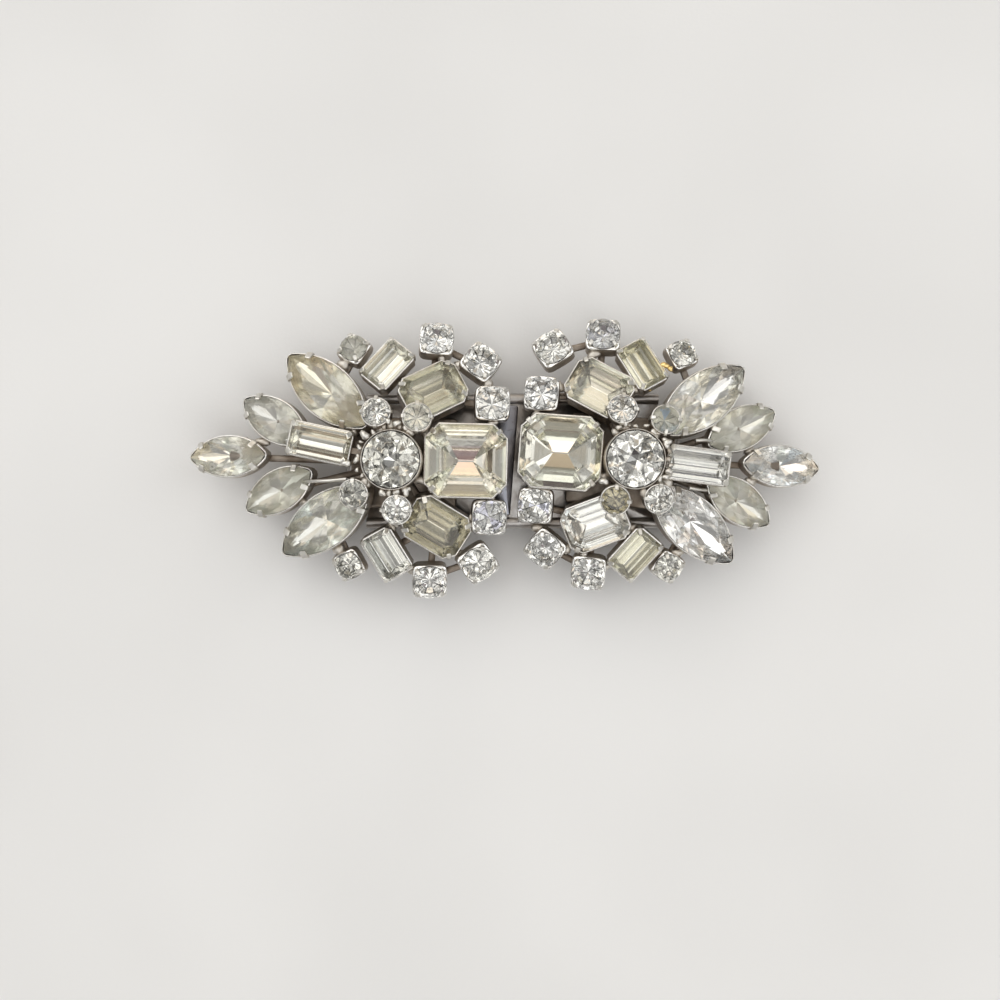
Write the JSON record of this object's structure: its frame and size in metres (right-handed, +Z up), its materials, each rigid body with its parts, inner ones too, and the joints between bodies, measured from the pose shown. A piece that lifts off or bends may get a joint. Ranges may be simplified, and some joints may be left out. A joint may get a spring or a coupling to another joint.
{
  "type": "double clip brooch",
  "caption": "Two mirrored spray clips of clear foiled marquise, octagon, baguette and round stones in claw settings, side by side on one pin-backed frame.",
  "frame": {"origin": "on the surface the brooch lies on, under the middle of its outline", "axes": "+X along the brooch towards the right clip, +Y across it towards its upper edge, +Z up out of the stones' faces"},
  "size_m": [0.0832, 0.0374, 0.0138],
  "materials": {
    "clear_stone": "faceted clear glass over a silvery foil that has yellowed a little",
    "setting_metal": "bright plated cast metal, duller in its corners",
    "frame_metal": "plain plated sheet metal, satin",
    "pin_metal": "polished wire and sheet"
  },
  "bodies": {
    "root": {"brooch_frame": "frame_metal", "pin": "pin_metal", "left_setting": "setting_metal", "left_lever": "frame_metal", "left_accents": "clear_stone", "right_setting": "setting_metal", "right_lever": "frame_metal", "right_accents": "clear_stone", "left_tip_marquise": "clear_stone", "left_long_baguette": "clear_stone", "left_centre_round": "clear_stone", "left_large_octagon": "clear_stone", "left_upper_small_marquise": "clear_stone", "left_lower_small_marquise": "clear_stone", "left_upper_large_marquise": "clear_stone", "left_lower_large_marquise": "clear_stone", "left_upper_medium_octagon": "clear_stone", "left_lower_medium_octagon": "clear_stone", "left_upper_short_baguette": "clear_stone", "left_lower_short_baguette": "clear_stone", "left_upper_small_round": "clear_stone", "left_lower_small_round": "clear_stone", "left_upper_outer_round": "clear_stone", "left_lower_outer_round": "clear_stone", "left_upper_shoulder_round": "clear_stone", "left_lower_shoulder_round": "clear_stone", "left_upper_inner_round": "clear_stone", "left_lower_inner_round": "clear_stone", "right_tip_marquise": "clear_stone", "right_long_baguette": "clear_stone", "right_centre_round": "clear_stone", "right_large_octagon": "clear_stone", "right_upper_small_marquise": "clear_stone", "right_lower_small_marquise": "clear_stone", "right_upper_large_marquise": "clear_stone", "right_lower_large_marquise": "clear_stone", "right_upper_medium_octagon": "clear_stone", "right_lower_medium_octagon": "clear_stone", "right_upper_short_baguette": "clear_stone", "right_lower_short_baguette": "clear_stone", "right_upper_small_round": "clear_stone", "right_lower_small_round": "clear_stone", "right_upper_outer_round": "clear_stone", "right_lower_outer_round": "clear_stone", "right_upper_shoulder_round": "clear_stone", "right_lower_shoulder_round": "clear_stone", "right_upper_inner_round": "clear_stone", "right_lower_inner_round": "clear_stone"}
  },
  "joints": []
}
